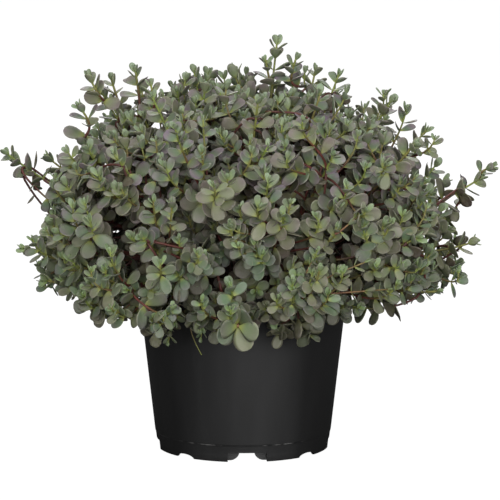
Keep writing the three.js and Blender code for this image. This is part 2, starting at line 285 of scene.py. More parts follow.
def stem_axis(tip, sway, steps):
    """Points along a rooted stem's axis, from its foot in the potting mix out to its tip."""
    azimuth = math.atan2(tip[1], tip[0])
    from_vertical = angle_between(tip, UP)
    widest = math.pi / 2 - LOWEST_TIP
    foot_limit = MIX_TOP_RADIUS + FIT_GAP - FOOT_MARGIN
    foot = foot_limit * min(1.0, math.sin(from_vertical / 2) / math.sin(widest / 2))
    reach = math.hypot(tip[0], tip[1])

    def bow_shape(s):
        return 6.75 * s * (1 - s) ** 2

    def straight(s):
        return -STEM_BURIED + (tip[2] + STEM_BURIED) * s + TIP_HOOK * (s ** 4 - s)

    bow = LOW_BOW * smoothstep(from_vertical, UPRIGHT_LEAN, SPRAWLING_LEAN)
    if reach > RIM_RADIUS:
        over_rim = ((RIM_RADIUS - foot) / (reach - foot)) ** (1 / STEM_LEAN)
        lift = POT_HEIGHT - CROWN_HEIGHT + RIM_CLEARANCE - straight(over_rim)
        bow = max(bow, lift / bow_shape(over_rim))

    points = []
    for s in np.linspace(0, 1, steps + 1):
        out = foot + (reach - foot) * s ** STEM_LEAN
        aside = sway * math.sin(math.pi * s)
        points.append((
            out * math.cos(azimuth) - aside * math.sin(azimuth),
            out * math.sin(azimuth) + aside * math.cos(azimuth),
            CROWN_HEIGHT + straight(s) + bow * bow_shape(s),
        ))
    return np.array(points)


def node_points(name):
    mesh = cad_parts[name].data
    flat = np.empty(len(mesh.vertices) * 3)
    mesh.vertices.foreach_get("co", flat)
    return flat.reshape(-1, 3) / MM


def fitted_axis(tip, sway, name):
    """The stem's axis, bent to the side as its CAD node is."""
    solid = node_points(name)
    tries = (sway, -sway, 0, STEM_SWAY, -STEM_SWAY, 2 * STEM_SWAY, -2 * STEM_SWAY)

    def misfit(bend):
        middle = stem_axis(tip, bend, 8)[3:6]
        return sum(np.min(np.linalg.norm(solid - point, axis=1)) for point in middle)

    return stem_axis(tip, min(tries, key=misfit), MAIN_STEPS)


def path_point(path, share):
    """A point and the direction of travel at a share of a path's points."""
    place = share * (len(path) - 1)
    index = min(len(path) - 2, int(place))
    point = path[index] + (path[index + 1] - path[index]) * (place - index)
    return point, unit(path[index + 1] - path[index])


def path_length(path):
    return float(np.sum(np.linalg.norm(np.diff(path, axis=0), axis=1)))


def bezier(start, leave, arrive, end, steps):
    s = np.linspace(0, 1, steps + 1)[:, None]
    return (
        (1 - s) ** 3 * start + 3 * s * (1 - s) ** 2 * leave
        + 3 * s * s * (1 - s) * arrive + s ** 3 * end
    )


def gaps_to(path, place):
    """The distances from a place to a path's points, past the path's foot."""
    return np.linalg.norm(path[PATH_FOOT:] - place, axis=1)


def in_container(points, guard):
    """Whether any point is in the container's wall or under its rim on the inside."""
    radius = np.hypot(points[:, 0], points[:, 1])
    below = points[:, 2] < POT_HEIGHT + guard
    ring = (radius < RIM_RADIUS + guard) & (radius > MIX_TOP_RADIUS - GUARDED_WIDTH)
    return bool(np.any(ring & below))


# ---- growing the plant
def grow():
    """All shoots, each with its stem's number, its path, its radii and how it is leafed."""
    random = Lehmer(STEM_SEED)
    tips = stem_tips(random)
    if len(tips) != len(STEM_NODES):
        raise ValueError(f"{len(tips)} tips for {len(STEM_NODES)} stem nodes")
    noise = np.random.RandomState(SHOOT_SEED)
    shoots = []
    mains = []
    for number, tip in enumerate(tips):
        sway = STEM_SWAY * (2 * random() - 1)
        roll = math.pi * random()
        path = fitted_axis(tip, sway, STEM_NODES[number])
        mains.append(path)
        style = HANGING_STYLE if tip[2] < HANGING_TIP else STANDING_STYLE
        shoots.append({"stem": number, "path": path, "roll": roll, **style})

    tip_directions = [unit(tip) for tip in tips]

    def side_shoot(direction, reach, vigour, shade):
        """A shoot that leaves the nearest stem and ends at this reach, where it can."""
        nearest = int(np.argmax([float(np.dot(direction, other)) for other in tip_directions]))
        end = CROWN + direction * reach
        outward = unit(
            (1.35 - UPRIGHT_SHARE) * direction + UPRIGHT_SHARE * UP
            + END_JITTER * noise.normal(size=3)
        )
        wanted = noise.uniform(*SHOOT_LENGTHS)
        partings = [path_point(mains[nearest], share) for share in PARTINGS]
        partings.sort(key=lambda parting: abs(np.linalg.norm(end - parting[0]) - wanted))
        for start, along in partings[:PARTING_TRIES]:
            span = np.linalg.norm(end - start)
            towards = along + PARTING_TURN * unit(end - start)
            parting = unit(towards + PARTING_JITTER * noise.normal(size=3))
            leave = start + parting * span * LEAVE_SHARE
            arrive = end - outward * span * ARRIVE_SHARE
            path = bezier(start, leave, arrive, end, SHOOT_STEPS)
            if span > SHORTEST_SHOOT and not in_container(path[1:], SHOOT_RIM_GUARD):
                shoots.append({
                    "stem": nearest, "path": path, "roll": math.pi * noise.uniform(),
                    "vigour": vigour, "roundness": noise.uniform(*SHOOT_ROUNDNESS),
                    "shade": shade, **SIDE_STYLE,
                })
                return

    for index in range(SHOOT_COUNT):
        direction = spiral_direction(index, SHOOT_COUNT, LOWEST_SHOOT, LOWEST_SIDE_SHOOT)
        direction = unit(direction + SHOOT_JITTER * noise.normal(size=3))
        if min(angle_between(direction, other) for other in tip_directions) < SHOOT_CLEAR_OF_TIPS:
            continue
        stray = STRAY_REACH * noise.uniform() if noise.uniform() < STRAY_SHARE else 0.0
        fullness = DOME_FULLNESS + DOME_RISE * max(0.0, direction[2])
        fullness = fullness + DOME_LUMPS * wave(direction)
        reach = dome_reach(direction) * (fullness + stray)
        reach *= 1 + REACH_SPREAD * (noise.uniform() - 0.5)
        end = CROWN + direction * reach
        seen_height = end[2] + SEEN_SLOPE * end[1]
        edge = np.interp(seen_height, *(LEFT_EDGE if end[0] < 0 else RIGHT_EDGE))
        reach *= min(1.0, edge / max(1.0, abs(end[0])))
        end = CROWN + direction * reach
        seen_height = end[2] + SEEN_SLOPE * end[1]
        if end[1] < 0 and seen_height < np.interp(end[0], *FRONT_FRINGE):
            continue
        side_shoot(direction, reach, noise.uniform(*SHOOT_VIGOURS), 0.0)

    for index in range(INNER_SHOOT_COUNT):
        direction = spiral_direction(index, INNER_SHOOT_COUNT)
        direction = unit(direction + 2 * SHOOT_JITTER * noise.normal(size=3))
        share = noise.uniform(*INNER_REACHES)
        reach = dome_reach(direction) * share
        side_shoot(direction, reach, noise.uniform(*INNER_VIGOURS), 1.0 - 0.6 * share)

    grown = list(shoots)
    for via, end, style in PLACED_SHOOTS:
        via, end = np.array(via, float), np.array(end, float)
        parent = min(grown, key=lambda shoot: np.min(gaps_to(shoot["path"], via)))
        start = parent["path"][PATH_FOOT + np.argmin(gaps_to(parent["path"], via))]
        path = bezier(start, via, via + (end - via) * 0.4, end, SHOOT_STEPS)
        shoots.append({
            "stem": parent["stem"], "path": path, "roll": math.pi * noise.uniform(),
            "shade": 0.0, **PLACED_STYLES[style],
        })
    return shoots


# ---- mesh parts
def linked(name, data):
    piece = bpy.data.objects.new(name, data)
    bpy.context.scene.collection.objects.link(piece)
    return piece


def piece_of(name, body):
    """An object of a finished bmesh, with its faces turned outwards."""
    bmesh.ops.recalc_face_normals(body, faces=body.faces)
    mesh = bpy.data.meshes.new(name)
    body.to_mesh(mesh)
    body.free()
    return linked(name, mesh)


class Foliage:
    """Gathers one stem's tubes and leaves, with their colour attributes and bake map."""

    def __init__(self):
        self.points = []
        self.blade = []
        self.life = []
        self.faces = []
        self.face_cells = []
        self.face_uvs = []
        self.face_slots = []
        self.cells = 0
        self.count = 0

    def add(self, points, blade, life, faces, uvs, slot):
        self.points.append(points)
        self.blade.append(blade)
        self.life.append(np.tile(life, (len(points), 1)))
        for face, uv in zip(faces, uvs):
            self.faces.append([self.count + corner for corner in face])
            self.face_cells.append(self.cells)
            self.face_uvs.append(uv)
            self.face_slots.append(slot)
        self.count += len(points)
        self.cells += 1

    def build(self, name, materials):
        mesh = bpy.data.meshes.new(name)
        points = np.concatenate(self.points) * MM
        mesh.from_pydata(points.tolist(), [], self.faces)
        for label, rows in (("blade", self.blade), ("life", self.life)):
            values = np.concatenate(rows)
            colours = np.ones((len(values), 4), np.float32)
            colours[:, :3] = values
            layer = mesh.attributes.new(label, "FLOAT_COLOR", "POINT")
            layer.data.foreach_set("color", colours.ravel())
        across = math.ceil(math.sqrt(self.cells))
        flat = []
        for cell, uv in zip(self.face_cells, self.face_uvs):
            column, row = cell % across, cell // across
            for u, v in uv:
                flat.append((column + u) / across)
                flat.append((row + v) / across)
        mesh.uv_layers.new(name="OFBake").data.foreach_set("uv", flat)
        for material in materials:
            mesh.materials.append(material)
        mesh.polygons.foreach_set("material_index", self.face_slots)
        mesh.polygons.foreach_set("use_smooth", [True] * len(mesh.polygons))
        mesh.update()
        return linked(name, mesh)


class LeafTemplate:
    """A closed leaf: rings of points along it, between a point at its base and its tip.

    along runs from 0 at the base to 1 at the tip, across from -1 to 1 between the margins, and
    side is 1 on the upper face, -1 on the lower one and 0 on the margin.
    """

    RING = ((-1, 0), (-0.62, 1), (0, 1), (0.62, 1), (1, 0), (0.62, -1), (0, -1), (-0.62, -1))

    def __init__(self, stations):
        rows = [(0.0, 0.0, 0.0)]
        for along in stations:
            rows += [(along, across, side) for across, side in self.RING]
        rows.append((1.0, 0.0, 0.0))
        table = np.array(rows)
        self.along, self.across, self.side = table.T
        self.breadth = self.outline(1.0, 0.5)
        self.blade = np.stack([self.along, np.abs(self.across), (self.side + 1) / 2], axis=1)
        self.faces, self.uvs = [], []
        around = len(self.RING)
        last = len(rows) - 1
        top = last - around
        for k in range(around):
            nxt = (k + 1) % around
            self.add_face([0, 1 + nxt, 1 + k], k)
            for low in range(1, top, around):
                high = low + around
                self.add_face([low + k, low + nxt, high + nxt, high + k], k)
            self.add_face([top + k, top + nxt, last], k)

    def outline(self, foot, head):
        """Half-width, from 0 to 1: a higher foot narrows the base, a higher head the tip."""
        widest = foot / (foot + head)
        shape = self.along ** foot * (1 - self.along) ** head
        return shape / (widest ** foot * (1 - widest) ** head)

    def add_face(self, corners, sector):
        half = 0.25 if sector < len(self.RING) // 2 else 0.75
        uv = []
        for corner in corners:
            reach = 0.21 * self.across[corner] * self.breadth[corner]
            uv.append((half + reach, 0.05 + 0.9 * self.along[corner]))
        self.faces.append(corners)
        self.uvs.append(uv)

    def shaped(self, length, width, thickness, form, bend, cup, twist):
        """The leaf's points along +X, with its upper face towards +Z."""
        breadth = self.outline(*form)
        half = breadth * width / 2 + 0.35 * (1 - self.along) ** 3
        swell = np.clip(breadth, 0, 1) ** 0.5 * (1 - 0.45 * self.along)
        crown = 1 - np.abs(self.across) ** 2.2
        groove = np.where(self.side > 0, 0.72 + 0.5 * np.abs(self.across), 1.0)
        x = length * self.along * (1 - 0.25 * bend * bend)
        y = half * self.across
        z = self.side * thickness / 2 * swell * crown * groove
        z = z + bend * length * self.along ** 2 + cup * half * self.across ** 2
        turn = twist * self.along
        return np.stack([
            x, y * np.cos(turn) - z * np.sin(turn), y * np.sin(turn) + z * np.cos(turn),
        ], axis=1)


BIG_LEAF = LeafTemplate((0.08, 0.22, 0.4, 0.58, 0.74, 0.87, 0.955))
SMALL_LEAF = LeafTemplate((0.14, 0.42, 0.7, 0.91))


def cross_frames(path):
    """Two directions square to the path at each of its points, carried along without twist."""
    tangents = np.gradient(path, axis=0)
    tangents /= np.linalg.norm(tangents, axis=1)[:, None]
    first = np.cross(tangents[0], UP if abs(tangents[0][2]) < 0.9 else np.array([1.0, 0, 0]))
    normals = [unit(first)]
    for tangent in tangents[1:]:
        carried = normals[-1] - tangent * np.dot(normals[-1], tangent)
        normals.append(unit(carried))
    normals = np.array(normals)
    return tangents, normals, np.cross(tangents, normals)


TUBE_SIDES = 7


def add_tube(foliage, path, radii, age_low, age_high, tone, shade):
    """A round stem along the path, closed at both ends."""
    _, normals, sides = cross_frames(path)
    angles = np.arange(TUBE_SIDES) * 2 * math.pi / TUBE_SIDES
    rings = []
    for point, normal, side, radius in zip(path, normals, sides, radii):
        around = np.outer(np.cos(angles), normal) + np.outer(np.sin(angles), side)
        rings.append(point + radius * around)
    count = len(path)
    points = np.concatenate([*rings, path[:1], path[-1:]])
    share = np.repeat(np.linspace(age_low, age_high, count), TUBE_SIDES)
    share = np.append(share, [age_low, age_high])
    blade = np.stack([share, np.full_like(share, tone), np.full_like(share, shade)], axis=1)
    faces, uvs = [], []
    for ring in range(count - 1):
        for k in range(TUBE_SIDES):
            nxt = (k + 1) % TUBE_SIDES
            low, high = ring * TUBE_SIDES, (ring + 1) * TUBE_SIDES
            faces.append([low + k, low + nxt, high + nxt, high + k])
            u0, u1 = 0.06 + 0.7 * k / TUBE_SIDES, 0.06 + 0.7 * (k + 1) / TUBE_SIDES
            v0, v1 = 0.04 + 0.9 * ring / (count - 1), 0.04 + 0.9 * (ring + 1) / (count - 1)
            uvs.append([(u0, v0), (u1, v0), (u1, v1), (u0, v1)])
    centre = count * TUBE_SIDES
    for ring, level in ((0, 0.3), (count - 1, 0.7)):
        for k in range(TUBE_SIDES):
            pair = (k, (k + 1) % TUBE_SIDES)
            if ring == 0:
                pair = pair[::-1]
            faces.append([ring * TUBE_SIDES + corner for corner in pair] + [centre])
            spokes = [
                (0.88 + 0.08 * math.cos(angles[corner]), level + 0.08 * math.sin(angles[corner]))
                for corner in pair
            ]
            uvs.append(spokes + [(0.88, level)])
        centre += 1
    foliage.add(points, blade, (0.5, tone, shade), faces, uvs, STEM_SLOT)


def add_leaf(foliage, base, axis, upper, size, roundness, age, tone, shade, noise):
    """A leaf from its base along the axis, its upper face towards upper."""
    bend = noise.uniform(-0.1, 0.14) + 0.1 * (1 - age)
    cup = noise.uniform(0.05, 0.36)
    form = (noise.uniform(0.8, 1.15), noise.uniform(0.44, 0.62))
    template = BIG_LEAF if size > SMALL_LEAF_SIZE else SMALL_LEAF
    thickness = LEAF_THICKNESS * (0.55 + 0.45 * min(1.0, size / 16))
    twist = noise.normal() * 0.15
    local = template.shaped(size, size * roundness, thickness, form, bend, cup, twist)
    across = np.cross(upper, axis)
    points = base + local @ np.stack([axis, across, upper])
    in_mix = np.hypot(points[:, 0], points[:, 1]) < RIM_RADIUS
    in_mix &= points[:, 2] < CROWN_HEIGHT + 1
    if np.any(in_mix) or in_container(points[len(template.RING):], RIM_GUARD):
        return
    foliage.add(
        points, template.blade, (age, tone, shade), template.faces, template.uvs, LEAF_SLOT,
    )


def facing_direction(place):
    """Where leaves at a place face: out of the dome, and more to the front or the back."""
    x, y, z = unit(place - CROWN)
    return unit(np.array([0.45 * x, y + (0.5 if place[1] > 20 else -0.5), 0.8 * z]))


def leaf_out(foliage, shoot, noise):
    """Opposite pairs of leaves, from the shoot's tip down, each pair a quarter turn on."""
    path = shoot["path"]
    length = path_length(path)
    _, normals, sides = cross_frames(path)
    tone = noise.uniform()
    vigour = shoot["vigour"]
    pair = shoot.get("first_pair", 0)
    distance = FIRST_PAIR_FROM_TIP
    while distance < length * shoot["leafy"]:
        step = min(pair, len(PAIR_GAPS) - 1)
        share = 1 - distance / length
        base, tangent = path_point(path, share)
        index = min(len(path) - 1, int(round(share * (len(path) - 1))))
        roll = shoot["roll"] + pair * (math.pi / 2 + shoot.get("swirl", 0.0))
        roll = roll + noise.normal() * ROLL_JITTER
        size = PAIR_LENGTHS[step] * vigour * noise.uniform(0.86, 1.1)
        if pair > LAST_FULL_PAIR:
            size *= noise.uniform(0.55, 0.9)
        roundness = shoot["roundness"] * min(1.0, 0.7 + 0.1 * pair)
        age = 0.02 + pair * PAIR_AGE + SHADE_AGE * shoot["shade"]
        age = min(1.0, age + shoot.get("age_shift", 0.0))
        facing = facing_direction(base)
        for opposite in (0, math.pi):
            if pair > LAST_FULL_PAIR and noise.uniform() < LOST_SHARE:
                continue
            turn = roll + opposite
            outward = normals[index] * math.cos(turn) + sides[index] * math.sin(turn)
            outward = unit(outward - tangent * np.dot(outward, tangent))
            spread = math.radians(PAIR_SPREADS[step] + noise.normal() * SPREAD_JITTER)
            axis = tangent * math.cos(spread) + outward * math.sin(spread)
            stray = AXIS_JITTER * noise.normal(size=3)
            axis = unit(axis + stray - LEAF_SAG * age * noise.uniform() * UP)
            upper = tangent * math.sin(spread) - outward * math.cos(spread)
            turned = FACE_OUTWARD * min(1.0, 0.3 * pair)
            upper = upper + turned * facing + FACE_JITTER * noise.normal(size=3)
            upper = unit(upper - axis * np.dot(upper, axis))
            leaf_tone = min(1.0, max(0.0, tone + noise.normal() * TONE_JITTER))
            scaled = size * noise.uniform(0.92, 1.08)
            root = base + outward * LEAF_SET_OUT
            add_leaf(
                foliage, root, axis, upper, scaled, roundness * noise.uniform(0.9, 1.1), age,
                leaf_tone, shoot["shade"], noise,
            )
        gap = PAIR_GAPS[step] * (0.75 + 0.3 * vigour) * shoot.get("stretch", 1.0)
        distance += gap * noise.uniform(0.85, 1.15)
        pair += 1


def build_stems(shoots, materials):
    noise = np.random.RandomState(SHOOT_SEED + 1)
    for number, node in enumerate(STEM_NODES):
        foliage = Foliage()
        for shoot in shoots:
            if shoot["stem"] != number:
                continue
            path = shoot["path"]
            low, high = shoot["thick"]
            radii = np.linspace(low, high, len(path))
            tone = shoot.get("stem_tone", noise.uniform(0, 0.9))
            old, young = shoot.get("stem_ages", (1.0 if low > 1.5 else 0.75, 0.05))
            add_tube(foliage, path, radii, old, young, tone, shoot["shade"])
            leaf_out(foliage, shoot, noise)
        piece = foliage.build(node.replace("stem_", "leafy_stem_"), materials)
        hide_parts(node)
        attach(piece, "root")


# ---- materials
class Nodes:
    """Adds and links the nodes of a material or of the world."""

    def __init__(self, owner):
        owner.use_nodes = True
        self.owner = owner
        self.tree = owner.node_tree
        self.shader = self.tree.nodes.get("Principled BSDF")

    def link(self, source, target):
        self.tree.links.new(source, target)

    def add(self, kind, **settings):
        node = self.tree.nodes.new(kind)
        for key, value in settings.items():
            setattr(node, key, value)
        return node

    def attribute(self, name):
        node = self.add("ShaderNodeAttribute", attribute_name=name)
        split = self.add("ShaderNodeSeparateColor")
        self.link(node.outputs["Color"], split.inputs["Color"])
        return split.outputs

    def place(self):
        split = self.add("ShaderNodeSeparateXYZ")
        self.link(self.add("ShaderNodeTexCoord").outputs["Object"], split.inputs[0])
        return split.outputs

    def noise(self, scale, detail, stretch=None):
        place = self.add("ShaderNodeTexCoord").outputs["Object"]
        if stretch:
            mapping = self.add("ShaderNodeMapping")
            mapping.inputs["Scale"].default_value = stretch
            self.link(place, mapping.inputs["Vector"])
            place = mapping.outputs["Vector"]
        node = self.add("ShaderNodeTexNoise")
        node.inputs["Scale"].default_value = scale
        node.inputs["Detail"].default_value = detail
        self.link(place, node.inputs["Vector"])
        return node.outputs["Fac"]

    def span(self, value, low, high, to_low=0.0, to_high=1.0):
        node = self.add("ShaderNodeMapRange", interpolation_type="SMOOTHSTEP")
        limits = {"From Min": low, "From Max": high, "To Min": to_low, "To Max": to_high}
        for key, number in limits.items():
            node.inputs[key].default_value = number
        self.link(value, node.inputs["Value"])
        return node.outputs["Result"]

    def feed(self, socket, value):
        """Sets a socket to a number or a colour, or links another node's output to it."""
        if isinstance(value, (int, float)):
            socket.default_value = value
        elif isinstance(value, tuple):
            socket.default_value = (*value, 1.0)
        else:
            self.link(value, socket)

    def times(self, a, b):
        node = self.add("ShaderNodeMath", operation="MULTIPLY")
        self.feed(node.inputs[0], a)
        self.feed(node.inputs[1], b)
        return node.outputs[0]

    def mix(self, share, a, b):
        node = self.add("ShaderNodeMix", data_type="RGBA", clamp_factor=True)
        for socket, value in ((0, share), (6, a), (7, b)):
            self.feed(node.inputs[socket], value)
        return node.outputs[2]

    def bump(self, height, strength, distance):
        node = self.add("ShaderNodeBump")
        node.inputs["Strength"].default_value = strength
        node.inputs["Distance"].default_value = distance
        self.link(height, node.inputs["Height"])
        self.link(node.outputs["Normal"], self.shader.inputs["Normal"])

    def seen_apart(self, lighting, seen, output):
        """Lights the object with one shader and shows the camera another."""
        ray = self.add("ShaderNodeLightPath").outputs["Is Camera Ray"]
        choice = self.add("ShaderNodeMixShader")
        for socket, source in zip(choice.inputs, (ray, lighting, seen)):
            self.link(source, socket)
        self.link(choice.outputs[0], self.tree.nodes[output].inputs["Surface"])


SUNNY_HEIGHTS = (0.14, 0.30)  # metres: shaded below the first, in full sun at the second
PAINTED_HIGHLIGHT_LINE = ((0.0142, 0.0146), (0.0154, 0.0149))  # metres: lower and upper edge of a painted highlight at the wall's foot


def leaf_material():
    n = Nodes(bpy.data.materials.new("sedum_leaf"))
    along, rim, face = n.attribute("blade")[:3]
    age, tone, shade = n.attribute("life")[:3]
    mottle = n.noise(260.0, 5.0)
    patch = n.noise(45.0, 2.0)

    hue = n.mix(0.6, tone, n.noise(14.0, 1.0))
    sunny = n.span(n.place()["Z"], *SUNNY_HEIGHTS)
    young = n.mix(n.span(along, 0.0, 0.9), (0.32, 0.45, 0.11), (0.255, 0.36, 0.18))
    bleached = n.mix(n.span(along, 0.0, 0.9), (0.30, 0.385, 0.15), (0.245, 0.325, 0.205))
    young = n.mix(sunny, young, bleached)
    green = n.mix(n.span(hue, 0.3, 0.7), (0.135, 0.21, 0.113), (0.213, 0.238, 0.128))
    mauve = n.mix(n.span(hue, 0.3, 0.7), (0.182, 0.143, 0.172), (0.205, 0.176, 0.152))
    outer = n.mix(n.span(rim, 0.3, 1.0, 0.0, 0.35), n.span(along, 0.3, 0.95), (1.0, 1.0, 1.0))
    flush = n.times(outer, n.span(patch, 0.3, 0.6, 0.3, 1.0))
    flush = n.times(flush, n.span(sunny, 0.0, 1.0, 0.6, 1.15))
    mature = n.mix(flush, green, mauve)
    mature = n.mix(n.span(along, 0.4, 0.0), mature, (0.33, 0.36, 0.08))
    old = n.mix(n.span(along, 0.2, 0.9), (0.13, 0.112, 0.055), (0.12, 0.088, 0.075))
    colour = n.mix(n.span(age, 0.06, 0.36), young, mature)
    colour = n.mix(n.span(age, 0.5, 1.0), colour, old)
    colour = n.mix(n.times(n.span(face, 0.6, 0.2), 0.3), colour, (0.15, 0.16, 0.085))
    colour = n.mix(n.times(n.span(shade, 0.2, 0.7), 0.6), colour, (0.05, 0.042, 0.024))
    edge = n.times(n.span(rim, 0.84, 1.0), 0.42)
    colour = n.mix(edge, colour, (0.50, 0.47, 0.34))
    colour = n.mix(n.span(mottle, 0.4, 0.66, 0.0, 0.15), colour, (0.31, 0.31, 0.25))
    n.link(colour, n.shader.inputs["Base Color"])
    n.link(n.span(mottle, 0.3, 0.7, 0.42, 0.58), n.shader.inputs["Roughness"])
    n.shader.inputs["Specular IOR Level"].default_value = 0.42
    n.shader.inputs["Subsurface Weight"].default_value = 0.12
    n.shader.inputs["Subsurface Radius"].default_value = (0.8, 1.0, 0.35)
    n.shader.inputs["Subsurface Scale"].default_value = 0.0015
    n.bump(n.noise(900.0, 2.0), 0.18, 0.0003)
    return n.owner


def stem_material():
    n = Nodes(bpy.data.materials.new("sedum_stem"))
    age, tone, shade = n.attribute("blade")[:3]
    grain = n.noise(420.0, 4.0)
    fresh = n.mix(tone, (0.23, 0.31, 0.06), (0.26, 0.22, 0.07))
    red = n.mix(tone, (0.15, 0.035, 0.025), (0.10, 0.035, 0.03))
    red = n.mix(n.span(tone, 0.92, 1.0), red, (0.36, 0.15, 0.10))
    colour = n.mix(n.span(age, 0.1, 0.45), fresh, red)
    colour = n.mix(n.span(age, 0.6, 1.0), colour, (0.05, 0.025, 0.018))
    colour = n.mix(n.span(grain, 0.35, 0.7, 0.0, 0.4), colour, (0.045, 0.022, 0.018))
    colour = n.mix(n.times(shade, 0.5), colour, (0.03, 0.02, 0.014))
    n.link(colour, n.shader.inputs["Base Color"])
    n.link(n.span(grain, 0.3, 0.7, 0.45, 0.68), n.shader.inputs["Roughness"])
    n.bump(grain, 0.35, 0.0004)
    return n.owner


def plastic_material():
    n = Nodes(bpy.data.materials.new("black_plastic"))
    speckle = n.noise(700.0, 4.0)
    flow = n.noise(30.0, 4.0, stretch=(1.0, 1.0, 0.12))
    colour = n.mix(n.span(flow, 0.3, 0.7), (0.008, 0.008, 0.0082), (0.011, 0.011, 0.0112))
    place = n.place()
    # Painted highlight: a thin lighter band along the wall's lower edge, broken up by noise,
    # strongest towards the front and weaker at its very middle.
    above, below = (n.span(place["Z"], *edge) for edge in PAINTED_HIGHLIGHT_LINE)
    highlight_breaks = n.span(n.noise(150.0, 6.0, stretch=(1.0, 1.0, 0.1)), 0.38, 0.62)
    painted_highlight = n.times(n.times(above, below), highlight_breaks)
    painted_highlight = n.times(painted_highlight, n.span(place["Y"], -0.052, -0.068, 0.15, 1.0))
    aside = n.add("ShaderNodeMath", operation="ABSOLUTE")
    n.link(place["X"], aside.inputs[0])
    painted_highlight = n.times(painted_highlight, n.span(aside.outputs[0], 0.010, 0.020, 0.1, 1.0))
    colour = n.mix(painted_highlight, colour, (0.15, 0.15, 0.145))
    n.link(colour, n.shader.inputs["Base Color"])
    n.link(n.span(flow, 0.3, 0.7, 0.42, 0.50), n.shader.inputs["Roughness"])
    n.shader.inputs["Specular IOR Level"].default_value = 0.75
    n.bump(speckle, 0.10, 0.0002)
    return n.owner


def mix_material():
    n = Nodes(bpy.data.materials.new("potting_mix"))
    crumbs = n.noise(300.0, 6.0)
    clods = n.noise(60.0, 3.0)
    colour = n.mix(n.span(clods, 0.35, 0.65), (0.035, 0.022, 0.014), (0.075, 0.048, 0.03))
    colour = n.mix(n.span(crumbs, 0.5, 0.75, 0.0, 0.6), colour, (0.13, 0.09, 0.06))
    n.link(colour, n.shader.inputs["Base Color"])
    n.shader.inputs["Roughness"].default_value = 0.95
    n.bump(crumbs, 0.9, 0.002)
    return n.owner


# ---- container and potting mix
# The CAD model's own sizes
POT_WALL = 1.6
WALL_SLOPE = 0.113
RIM_BAND_HEIGHT = 12
RIM_BAND_PROUD = 1.8
SHOULDER_HEIGHT = 8
SHOULDER_INSET = 1.5
FOOT_HEIGHT = 7
FOOT_DRAFT = 0.7
FOOT_WIDTH = 3
BASE_RAISE = 8.3
POT_SEGMENTS = 192
DRAIN_COUNT = 4
DRAIN_AZIMUTH = math.radians(-87)
DRAIN_WIDTH = 34
DRAIN_DEPTH = 11
OPENING_WIDTH = 12.5
OPENING_FLARE = 8.5
SCALLOP_WIDTH = 20
SCALLOP_HEIGHT = 3.6
DRAIN_HOLE_LENGTH = 14
DRAIN_HOLE_WIDTH = 6
CURVE_STEPS = 10
CUT_OVERRUN = 1

CREASE = math.radians(35)  # edges sharper than this stay crisp
BALL_SEGMENTS = 120
BALL_RINGS = 34  # across the root ball's top
BALL_DROP = 1.2  # from the CAD mix's top, which leaves room for the crumbs
CRUMB_HEIGHT = 0.7
CLOD_HEIGHT = 0.25


def wall_radius(z):
    return RIM_RADIUS - RIM_BAND_PROUD - (POT_HEIGHT - z) * WALL_SLOPE


def rounded(corners):
    """A profile of (radius, height, rounding) with its corners rounded off."""
    out = []
    places = [np.array(corner[:2], float) for corner in corners]
    for index, corner in enumerate(places):
        rounding = corners[index][2]
        if rounding == 0:
            out.append(corner)
            continue
        before = places[index - 1] - corner
        after = places[index + 1] - corner
        reach = min(rounding, np.linalg.norm(before) / 2.2, np.linalg.norm(after) / 2.2)
        start = corner + unit(before) * reach
        end = corner + unit(after) * reach
        for s in np.linspace(0, 1, 5):
            out.append((1 - s) ** 2 * start + 2 * s * (1 - s) * corner + s * s * end)
    return out


def turned(name, profile, segments):
    """A closed mesh turned about Z, from a profile of (radius, height) that ends on it."""
    body = bmesh.new()
    rings = []
    for radius, height in profile:
        if radius < 1e-6:
            rings.append([body.verts.new((0, 0, height * MM))])
            continue
        angles = [2 * math.pi * k / segments for k in range(segments)]
        rings.append([
            body.verts.new((
                radius * MM * math.cos(angle), radius * MM * math.sin(angle), height * MM,
            ))
            for angle in angles
        ])
    for low, high in zip(rings, rings[1:]):
        for k in range(segments):
            nxt = (k + 1) % segments
            if len(low) == 1:
                body.faces.new((low[0], high[nxt], high[k]))
            elif len(high) == 1:
                body.faces.new((low[k], low[nxt], high[0]))
            else:
                body.faces.new((low[k], low[nxt], high[nxt], high[k]))
    return piece_of(name, body)


def radial_prism(outline, near, far, azimuth):
    """An upright outline of (across, height), pushed out from the axis at an azimuth."""
    body = bmesh.new()
    outward = Vector((math.cos(azimuth), math.sin(azimuth), 0))
    across = Vector((-math.sin(azimuth), math.cos(azimuth), 0))
    rings = []
    for distance in (near, far):
        rings.append([
            body.verts.new((outward * distance + across * x + Vector((0, 0, z))) * MM)
            for x, z in outline
        ])
    count = len(outline)
    for k in range(count):
        nxt = (k + 1) % count
        body.faces.new((rings[0][k], rings[0][nxt], rings[1][nxt], rings[1][k]))
    body.faces.new(rings[0])
    body.faces.new(list(reversed(rings[1])))
    return piece_of("cutter", body)


def box_outline(width, bottom, top):
    return [(-width / 2, bottom), (width / 2, bottom), (width / 2, top), (-width / 2, top)]


def arch_outline(width, height):
    outline = [(-width / 2, -CUT_OVERRUN), (width / 2, -CUT_OVERRUN)]
    for i in range(CURVE_STEPS + 1):
        angle = math.pi * i / CURVE_STEPS
        outline.append((width / 2 * math.cos(angle), height * math.sin(angle)))
    return outline


def flared_outline(width, flare, height):
    right = [(width / 2 + flare, -CUT_OVERRUN)]
    for i in range(CURVE_STEPS + 1):
        angle = math.pi * i / (2 * CURVE_STEPS)
        right.append((width / 2 + flare * (1 - math.sin(angle)), height * (1 - math.cos(angle))))
    return right + [(-x, z) for x, z in reversed(right)]


